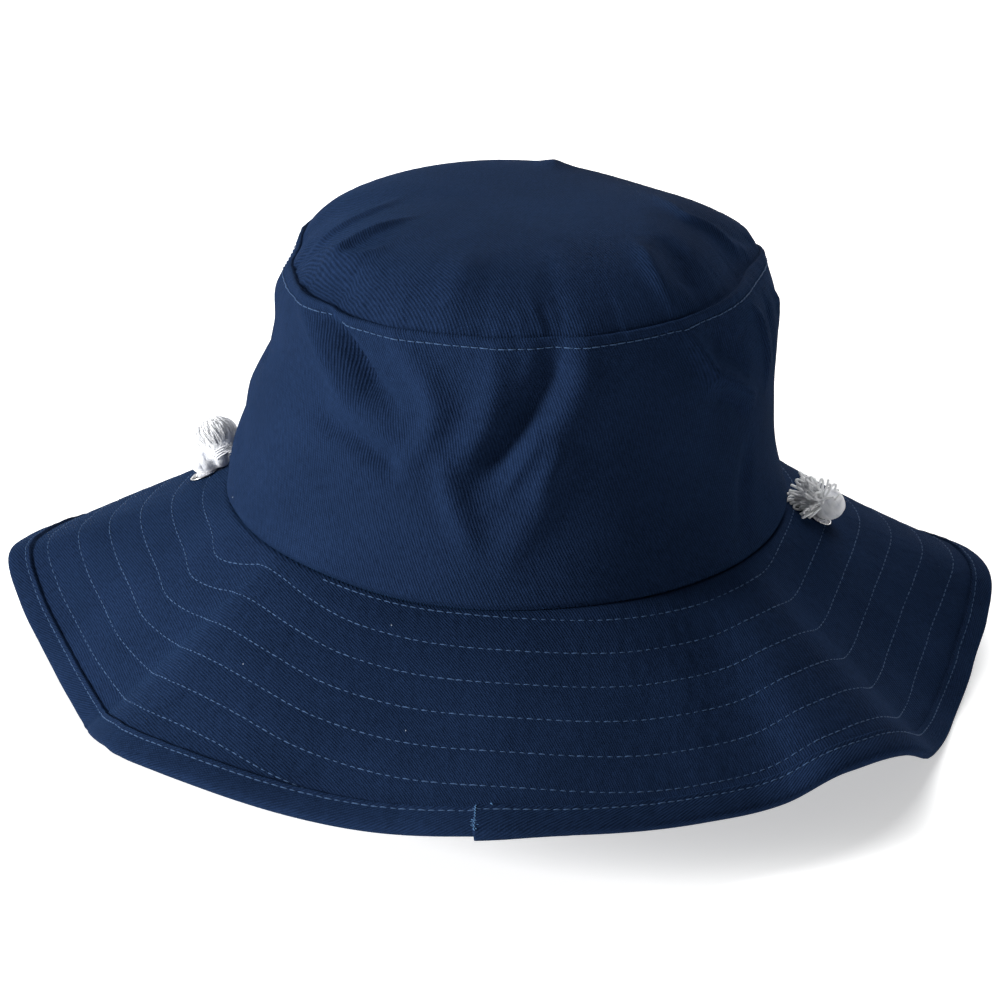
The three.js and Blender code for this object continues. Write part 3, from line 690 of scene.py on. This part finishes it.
# How much wider the brim is cut in places, in millimetres.
brim_extra = {
    "bearing": (-180, -95, -56, -54.5, -53.3, -52, -51, -50, -48.8, -47.5, -45, -30, -20, 0, 40, 70, 110),
    "width": (0, 0, 0, 0, -0.1, -1.2, -2.8, -2, -0.6, 0, 0, 0, 0, -0.8, 0.2, 0.1, 0),
}
# The quilting row: how far out its first turn lies, and the gap to the next turn, in millimetres.
quilting = {
    "bearing": (-180, -120, -95, -85, -70, -62, -56, -52, -47, -38, -30, -20,
                0, 24, 54, 68, 80, 90, 130, 180),
    "first": (-6.6, -5, -3.2, -2.7, -1.7, 2.1, -2, -6.1, -6, -2.8, -0.6, 0.2,
              1.6, 5.8, 5.7, 2.3, 2, 3.3, 4.5, 5.7),
    "gap": (12.3, 11.8, 11.3, 11.2, 11, 10.4, 11, 11.6, 11.5, 11.2, 11.6, 12,
            12.3, 12.3, 11.8, 11.7, 11.9, 12.2, 12.3, 12.3),
}
quilting_start = -37
quilting_turns = 7


def brim_sheet(bearing, reach):
    """The brim's upper face as one smooth sheet; reach is measured along the cloth from the crown seam."""
    bearing, reach = np.broadcast_arrays(np.asarray(bearing, float), np.asarray(reach, float))
    seam = oval(bearing, crown_width / 2, crown_depth / 2)
    seam[..., 2] = crown_height * round_hat(seam_sag, "base", bearing)
    share = np.clip(reach / brim_width, 0, 1)
    grown = share**2 * round_hat(brim_extra, "width", bearing) * mm
    heading = np.radians(bearing + round_hat(brim_folds, "swing", bearing))
    fall = np.radians(round_hat(brim_folds, "droop", bearing))
    run = np.stack([np.sin(heading) * np.cos(fall), -np.cos(heading) * np.cos(fall), -np.sin(fall)], -1)
    seam[..., 2] -= round_hat(edge_curl, "curl", bearing) * mm * share**4
    return seam + run * (reach + grown)[..., None] + seam_centre


def brim_up(bearing, reach):
    return upward(brim_sheet, bearing, reach)


def quilt_row(bearing):
    """How far out the quilting's first turn lies at a bearing, and the gap to its next turn, in metres."""
    at = within_turn(bearing)
    return [through_column(quilting["bearing"], quilting[column], at) * mm for column in ("first", "gap")]


def quilt_sink(bearing, reach):
    """How far the stitches draw the cloth in, and how it puffs up between them."""
    first, gap = quilt_row(bearing)
    turn = (reach - first) / gap
    near = np.abs(turn - np.round(turn)) * gap
    drawn = -0.26 * mm * np.exp(-(near / (1.3 * mm)) ** 2)
    gathers = pucker(bearing * 1.7, 0.12 * mm) * np.sin(reach / (3.1 * mm))
    past_tape = ease(reach, brim_width - tape_width - 1 * mm, brim_width - tape_width + 2 * mm)
    return (drawn + gathers) * ease(reach, 0, 2 * mm) * (1 - past_tape)


def brim_point(bearing, reach):
    return brim_sheet(bearing, reach) + brim_up(bearing, reach) * quilt_sink(bearing, reach)[..., None]


def brim_under(bearing, reach):
    depth = brim_cloth + quilt_sink(bearing, reach)
    return brim_sheet(bearing, reach) - brim_up(bearing, reach) * depth[..., None]


def even_bearings(count, reach):
    """Bearings evenly spaced along the brim at one reach, so that sharp folds get enough of them."""
    fine = np.linspace(-180, 180, 2881)
    length = run_length(brim_sheet(fine, reach))
    return np.interp(np.linspace(0, length[-1], count + 1), length, fine)


brim_turn = even_bearings(600, brim_width * 0.6)
brim_bearings = brim_turn[:-1]
cloth_edge = brim_width - 1.2 * mm
reaches = np.linspace(0, cloth_edge, 62)
seam_gap = 0.3 * mm
seam_tuck = wall_point(brim_bearings, 0.0, wall_cloth + seam_gap)
brim_loops = [seam_tuck, *[brim_point(brim_bearings, reach) for reach in reaches]]
brim_loops += [brim_under(brim_bearings, reach) for reach in reaches[::-1]]
brim_loops.append(seam_tuck - (0, 0, brim_cloth))
# Laid flat, the brim's ring is a cone's skin, which covers less than a whole turn.
flat_share = 0.82
flat_seam = 95 * mm / flat_share
brim_angle = np.radians(brim_turn) * flat_share
brim_flat = np.array([
    (flat_seam + reach) * np.stack([np.sin(brim_angle), -np.cos(brim_angle)], -1)
    for reach in [-2 * mm, *reaches, *reaches[::-1], -2 * mm]
])
brim_piece = loft("brim_cloth", brim_loops, brim_flat, ring=True)
brim_piece.data.materials.append(twill_finish("brim_twill", 126))
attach(brim_piece, "root")
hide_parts("brim")


# Quilting stitches. They show on both faces of the brim, in the same lighter blue thread as the crown's.
tape_start = brim_width - tape_width
least_reach = 0.9 * mm
row_lines, row_ups, under_lines = [], [], []
row_first, row_gap = quilt_row(ring_bearings[:-1])
for turn in range(quilting_turns):
    row_reach = row_first + turn * row_gap
    shown = (row_reach > least_reach) & (row_reach < tape_start + 0.6 * mm)
    if turn == 0:
        shown = ring_bearings[:-1] > quilting_start
        row_reach = np.maximum(row_reach, least_reach)
    for start in np.flatnonzero(shown & ~np.concatenate([[False], shown[:-1]])):
        end = start
        while end < len(shown) and shown[end]:
            end += 1
        if end - start > 4:
            at, reach = ring_bearings[start:end], row_reach[start:end]
            row_lines.append(brim_point(at, reach))
            row_ups.append(brim_up(at, reach))
            under_lines.append(brim_under(at, reach))
quilting_upper = sew("quilting_stitches_upper", row_lines, row_ups, blue_thread)
quilting_lower = sew("quilting_stitches_lower", under_lines, [-up for up in row_ups], blue_thread)


# Binding. A strip of the same twill is folded over the brim's raw edge and stitched through near its inner
# edge. Its cut end laps over its start near the front's middle, where it is thicker and hangs lower.
lap_bearing = -3.5
lap_spread = 13
tape_section = {
    "reach": (0, 0.05, 0.35, 1, 1.6, 2.4, 5, 6.8, 7.8, 8.35, 8.5, 8.35, 7.8, 6.8, 5, 2.4,
              1.6, 1, 0.35, 0.05, 0),
    "lift": (0.2, 0.85, 1.05, 0.9, 0.75, 1, 1.15, 1.1, 0.9, 0.3, -0.8, -1.9, -2.5, -2.7, -2.75, -2.6,
             -2.35, -2.5, -2.65, -2.45, -1.8),
    "laps": (0.2, 1, 1, 1, 1, 1, 1, 1, 0.9, 0.4, 0, -0.4, -0.9, -1, -1, -1, -1, -1, -1, -1, -0.2),
}


def lap(bearing):
    past = bearing - lap_bearing
    return np.where((past < 0) | (past > lap_spread), 0, 1 - ease(past, 0, lap_spread) * 0.9)


def tape_point(bearing, reach, lift, laps):
    """A point of the binding; reach counts from its inner edge, lift from the brim's upper face."""
    lapped = lap(bearing)
    out = tape_start + reach * mm + lapped * 1.1 * mm * np.clip((reach - 4) / 4, 0, 1)
    ripple = pucker(bearing * 1.3 + 40, 0.14 * mm) * np.clip(1 - reach / 9, 0, 1) * np.sign(laps)
    raised = (lift + lapped * laps * 0.75) * mm + ripple
    return brim_sheet(bearing, out) + brim_up(bearing, out) * raised[..., None]


tape_turn = np.sort(np.concatenate([
    [at for at in even_bearings(860, brim_width) if abs(at - lap_bearing) > 0.12],
    [lap_bearing - 0.03, lap_bearing + 0.01],
]))
tape_bearings = tape_turn[:-1]
tape_loops = [tape_point(tape_bearings, *row) for row in zip(*tape_section.values())]
around_edge = run_length(brim_sheet(tape_turn, brim_width))
across_tape = run_length(np.stack([tape_section["reach"], tape_section["lift"]], -1))
tape_flat = np.stack(np.broadcast_arrays(around_edge[None, :], across_tape[:, None] * mm), -1)
tape_piece = loft("brim_binding_tape", tape_loops, tape_flat, ring=True)
tape_piece.data.materials.append(twill_finish("binding_twill", 152))
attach(tape_piece, "root")
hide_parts("brim_binding")

tape_stitch = 1.6
stitch_at = np.linspace(lap_bearing + 0.3, lap_bearing + 359.5, 1600)
stitch_at = np.where(stitch_at > 180, stitch_at - 360, stitch_at)
tape_upper = tape_point(stitch_at, tape_stitch, 0.78, 1)
tape_lower = tape_point(stitch_at, tape_stitch, -2.38, -1)
up_there = brim_up(stitch_at, tape_start + tape_stitch * mm)
binding_stitches = sew("binding_stitches", [tape_upper, tape_lower], [up_there, -up_there], blue_thread)


# A bar tack holds the end of the lap: a few long bright stitches sewn to and fro over its cut edge.
# The node tree gives each edge of a mesh the round body of a thread.
thread_tree, tree_nodes, wire, thread_inputs = new_tree("threads", {
    "Paths": "NodeSocketGeometry", "Thread width": "NodeSocketFloat", "Thread": "NodeSocketMaterial",
})
thread_paths = tree_nodes.add("GeometryNodeMeshToCurve", None, {0: wire["Paths"]})
end_tree(tree_nodes, thread_body(tree_nodes, thread_paths, wire["Thread width"], 6), wire["Thread"])


def spin_threads(name, lines, width, material):
    piece = threads_of(name, lines, [np.zeros((len(line), 3)) for line in lines])
    return settle(piece, thread_tree, thread_inputs, {"Thread width": width, "Thread": material})


tack_reach = np.array((5, 5.5, 5.7, 6.1, 6.3, 6.6, 6.9, 7.2, 7.3, 7.7))
tack_at = lap_bearing + np.array((-0.35, 0.4, -0.5, 0.5, -0.3, 0.75, -0.45, 0.35, -0.2, 0.5))
tack_lift = np.array((1.25, 1.95) * 5)
cut_reach = np.linspace(0.6, 8, 17)
tack_lines = [
    tape_point(tack_at, tack_reach, tack_lift, 0),
    tape_point(lap_bearing + 0.12 + 0.1 * (-1.0) ** np.arange(17), cut_reach, 1.85, 0),
    tape_point(np.array((-1.4, -1.2, -1.1)), np.array((-1.3, -0.4, 0.5)), np.array((0.3, 1.3, 1.9)), 0),
]
bright_thread = thread_finish("bright_thread", (0.03, 0.075, 0.16, 1), (0.09, 0.19, 0.34, 1))
bar_tack = spin_threads("bar_tack", tack_lines, 0.3 * mm, bright_thread)
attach(bar_tack, "root")


# Eyelets. A silver metal eyelet is pressed through the brim beside the crown at each side, with a rolled
# flange above and below the cloth. The chin cord goes down through it.
eyelet_setback = 11 * mm
eyelet_profile = {
    "radius": (2.6, 2.6, 2.72, 3.3, 4.2, 4.7, 4.8, 4.6, 3.4, 3.1, 3.1, 3.4, 4.6, 4.8, 4.7, 4.2, 3.3, 2.72),
    "height": (-2.3, 0.7, 0.88, 0.92, 0.86, 0.66, 0.42, 0.3, 0.3, 0.2, -1.8, -1.9, -1.9, -2.02,
               -2.26, -2.46, -2.52, -2.48),
}
cord_ends = {"left": -98, "right": 84}


def eyelet_frame(bearing):
    """Middle of an eyelet on the brim's upper face, and its outward, sideways and upward directions."""
    at = np.array([float(bearing)])
    up = brim_up(at, eyelet_setback)[0]
    out = unit(brim_sheet(at, eyelet_setback + 1 * mm) - brim_sheet(at, eyelet_setback))[0]
    side = unit(np.cross(up, out))
    return brim_sheet(at, eyelet_setback)[0], out, side, up


def metal_finish(name):
    """Bright plated metal, with fine scratches and duller patches."""
    material, nodes = new_finish(name)
    solid = nodes.in_object()
    scratch = nodes.noise(solid, 3800.0, 4.0, 0.8)
    dull = nodes.noise(solid, 420.0)
    end_finish(nodes, {
        "Base Color": nodes.mix(dull, (0.62, 0.62, 0.64, 1), (0.86, 0.86, 0.88, 1)), "Metallic": 1.0,
        "Roughness": 0.16 + dull * 0.22, "Normal": nodes.bump(0.25, 0.05 * mm, scratch),
    })
    return material


bright_metal = metal_finish("eyelet_plating")
for side_name, bearing in cord_ends.items():
    middle, out, side, up = eyelet_frame(bearing)
    angle = np.linspace(0, 2 * np.pi, 64, endpoint=False)[:, None]
    loops = [
        middle + up * height * mm + radius * mm * (np.cos(angle) * out + np.sin(angle) * side)
        for radius, height in zip(*eyelet_profile.values())
    ]
    flat = np.zeros((len(loops), 65, 2))
    flat[..., 0] = np.linspace(0, 30 * mm, 65)
    flat[..., 1] = np.linspace(0, 16 * mm, len(loops))[:, None]
    ring = loft(f"eyelet_ring_{side_name}", loops, flat, ring=True)
    ring.data.materials.append(bright_metal)
    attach(ring, "root")
    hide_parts(f"eyelet_{side_name}")


# Cord ends. Above each eyelet the cord is knotted so that it can't slip through, and its end is frayed into
# soft white threads. The left end is a dense round tuft; the right one is looser, with looped threads.
# Places are in millimetres from the middle of the eyelet.
end_shapes = {
    "left": {"knot": (1.6, 0.6, 5.6), "knot_axis": (0.93, 0, 0.37), "knot_length": 13.6,
             "along": (0, 0.08, 0.25, 0.45, 0.58, 0.75, 0.92, 1),
             "radius": (0.2, 2.6, 4.3, 4.6, 4, 4.3, 3, 0.2),
             "strands": 2, "winding": 2.6, "crossing": -1.7, "depth": 0.11},
    "right": {"knot": (3.4, -1, 4.4), "knot_axis": (0.75, -0.35, 0.55), "knot_length": 10,
              "along": (0, 0.08, 0.25, 0.5, 0.75, 0.92, 1),
              "radius": (0.2, 2.6, 4.3, 4.9, 4.3, 2.6, 0.2),
              "strands": 4, "winding": 5, "crossing": -3, "depth": 0.06},
}
golden_turn = math.pi * (3 - math.sqrt(5))
tuft_spread = (1.03, 0.92, 0.84)


def square_to(axis):
    """Two directions square to an axis and to each other."""
    side = unit(np.cross(axis, (0.23, 0.94, 0.25)))
    return side, np.cross(axis, side)


def wound_knot(name, middle, shape):
    """A tight knot: a rounded body that shows the turns of cord pulled round it."""
    axis = unit(np.array(shape["knot_axis"], float))
    side, other = square_to(axis)
    along = np.linspace(0, 1, 56)[:, None]
    turn = np.linspace(0, 2 * np.pi, 73)[None, :]
    wrap = np.abs(np.sin(turn * shape["strands"] / 2 + shape["winding"] * along)) ** 0.6
    crossing = np.abs(np.sin(turn * shape["strands"] / 2 + shape["crossing"] * along + 1.1)) ** 0.6
    relief = 1 - shape["depth"] * (1 - np.maximum(wrap, 0.8 * crossing))
    radius = through_column(shape["along"], shape["radius"], along) * relief
    start = middle + (np.array(shape["knot"]) - axis * shape["knot_length"] / 2) * mm
    rings = (start + (axis * (along * shape["knot_length"])[..., None]
             + radius[..., None] * (np.cos(turn)[..., None] * side + np.sin(turn)[..., None] * other)) * mm)
    flat = np.stack(np.broadcast_arrays(along * shape["knot_length"] * mm, turn * 2.1 * mm), -1)
    return loft(name, rings[:, :-1], flat)


def round_tuft(centre, threads, radius):
    """Threads that spring from one pole of a ball and lie close round it up to its top."""
    chance = np.random.default_rng(5)
    pole = unit(np.array((0.45, -0.45, -0.77)))
    side, other = square_to(pole)
    lines = []
    t = np.linspace(0, 1, 13)[:, None]
    for i in range(threads):
        turn = i * golden_turn + 0.16 * t * chance.normal()
        reach = math.radians(12) + t * math.radians(chance.uniform(85, 150))
        away = radius * (0.85 + (chance.uniform(0.95, 1.08) - 0.85) * t)
        lines.append(centre + away * tuft_spread * (
            np.cos(reach) * pole + np.sin(reach) * (np.cos(turn) * side + np.sin(turn) * other)))
    for i in range(16):
        start = centre + chance.uniform((1.5, -4, -5), (4, 0, -2)) * mm
        heading = unit(np.array((1, chance.uniform(-0.7, 0.1), chance.uniform(-0.25, 0.5))))
        lines.append(start + heading * chance.uniform(2.5, 3.8) * mm * t)
    whole_turn = 2 * np.pi * t
    band = np.cos(whole_turn) * side + np.sin(whole_turn) * other
    for i in range(4):
        lines.append(centre + radius * ((0.78 + 0.1 * i) * pole + (0.62 - 0.05 * i) * band))
    return lines


def loose_tuft(middle, threads):
    """Threads that spread sideways and up from the knot; many of them are loops that turn back."""
    chance = np.random.default_rng(9)
    root = middle + np.array((0.2, -1.8, 5.8)) * mm
    lines = []
    t = np.linspace(0, 1, 15)[:, None]
    for i in range(threads):
        upright = i % 6 == 0
        axis = unit(np.array((0.25, -0.1, 0.95) if upright else (-0.88, -0.3, 0.36)))
        side, other = square_to(axis)
        turn = i * golden_turn
        apart = math.sqrt((i + 0.5) / threads)
        outward = math.cos(turn) * side + math.sin(turn) * other
        heading = unit(axis + outward * apart * 0.85 + chance.normal(0, 0.12, 3))
        start = root + outward * apart * 2.4 * mm
        length = chance.uniform(6.5, 10) * mm * (0.85 if upright else 1)
        droop = np.array((0, 0, -1)) * length * chance.uniform(0, 0.25) * t**2
        bow = np.cross(heading, chance.normal(0, 1, 3)) * length * 0.09
        if chance.random() < 0.55:
            swing = unit(np.cross(heading, chance.normal(0, 1, 3))) * chance.uniform(0.6, 1.1) * mm
            lines.append(start + heading * length * np.sin(math.pi * t) + swing * np.sin(2 * math.pi * t)
                         + bow * np.sin(math.pi * t))
        else:
            lines.append(start + heading * length * t + droop + bow * np.sin(math.pi * t))
    return lines


def tuft_heart(name, centre, radius):
    """The tightly packed inside of the round tuft, which shows between its outer threads."""
    fall = np.linspace(0.02, math.pi - 0.02, 30)[:, None]
    turn = np.linspace(0, 2 * np.pi, 49)[None, :]
    packed = radius * (1 + 0.03 * np.sin(17 * turn + 2 * fall))
    ball = np.stack([packed * np.sin(fall) * np.cos(turn), packed * np.sin(fall) * np.sin(turn),
                     packed * np.cos(fall)], -1) * tuft_spread + centre
    return loft(name, ball[:, :-1], np.stack(np.broadcast_arrays(fall * radius, turn * radius), -1))


soft_cotton = cotton_cord_finish("soft_knot", 2.0, 9 * mm)
frayed_cotton = thread_finish("frayed_cotton", (0.86, 0.87, 0.9, 1), (0.94, 0.95, 0.97, 1), 0.6)
for side_name, bearing in cord_ends.items():
    shape = end_shapes[side_name]
    middle, out, side, up = eyelet_frame(bearing)
    knot = wound_knot(f"knot_{side_name}", middle, shape)
    neck_line = np.vstack([np.linspace(middle - up * 6.3 * mm, middle + up * 2 * mm, 12),
                           [middle + np.array(shape["knot"]) * 0.8 * mm]])
    neck = loft(f"neck_{side_name}", *tube(neck_line, cord_width / 2, 14))
    if side_name == "left":
        tuft_centre = middle + np.array((4.3, -0.2, 14)) * mm
        lines, width = round_tuft(tuft_centre, 420, 6.8 * mm), 0.36 * mm
        heart = tuft_heart("tuft_heart_left", tuft_centre, 6.6 * mm)
        heart.data.materials.append(frayed_cotton)
        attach(heart, "root")
    else:
        lines, width = loose_tuft(middle, 56), 0.86 * mm
    tuft = spin_threads(f"tuft_{side_name}", lines, width, frayed_cotton)
    for piece in (knot, neck):
        piece.data.materials.append(soft_cotton)
    for piece in (knot, neck, tuft):
        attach(piece, "root")
    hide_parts(f"tassel_{side_name}")


# Studio. A plain pale floor, one large soft light from the left, one overhead and one behind the hat.
floor_mesh = bpy.data.meshes.new("studio_floor")
floor_mesh.from_pydata([(-6, -6, 0), (6, -6, 0), (6, 6, 0), (-6, 6, 0)], [], [(0, 1, 2, 3)])
floor = new_piece("studio_floor", floor_mesh)
floor_finish, floor_nodes = new_finish("pale_floor")
end_finish(floor_nodes, {
    "Base Color": (0.9, 0.9, 0.9, 1), "Roughness": 0.9,
    "Emission Color": (1, 1, 1, 1), "Emission Strength": 0.5,
})
floor_mesh.materials.append(floor_finish)


def soft_light(name, place, size, power):
    data = bpy.data.lights.new(name, "AREA")
    data.shape = "DISK"
    data.size = size
    data.energy = power
    light = bpy.data.objects.new(name, data)
    light.location = place
    light.rotation_mode = "QUATERNION"
    light.rotation_quaternion = (Vector((0, 0, 0.08)) - Vector(place)).to_track_quat("-Z", "Y")
    bpy.context.scene.collection.objects.link(light)


soft_light("key_light", (-3.6, -1.3, 1.0), 1.2, 312)
soft_light("overhead_light", (0.4, 1.2, 2.8), 2.0, 52)
soft_light("back_light", (0.5, 3.2, 1.3), 1.4, 58)
world = bpy.data.worlds.new("studio")
world.use_nodes = True
background = world.node_tree.nodes["Background"].inputs
background["Color"].default_value = (1, 1, 1, 1)
background["Strength"].default_value = 0.135
bpy.context.scene.world = world
bpy.context.scene.view_settings.view_transform = "Standard"
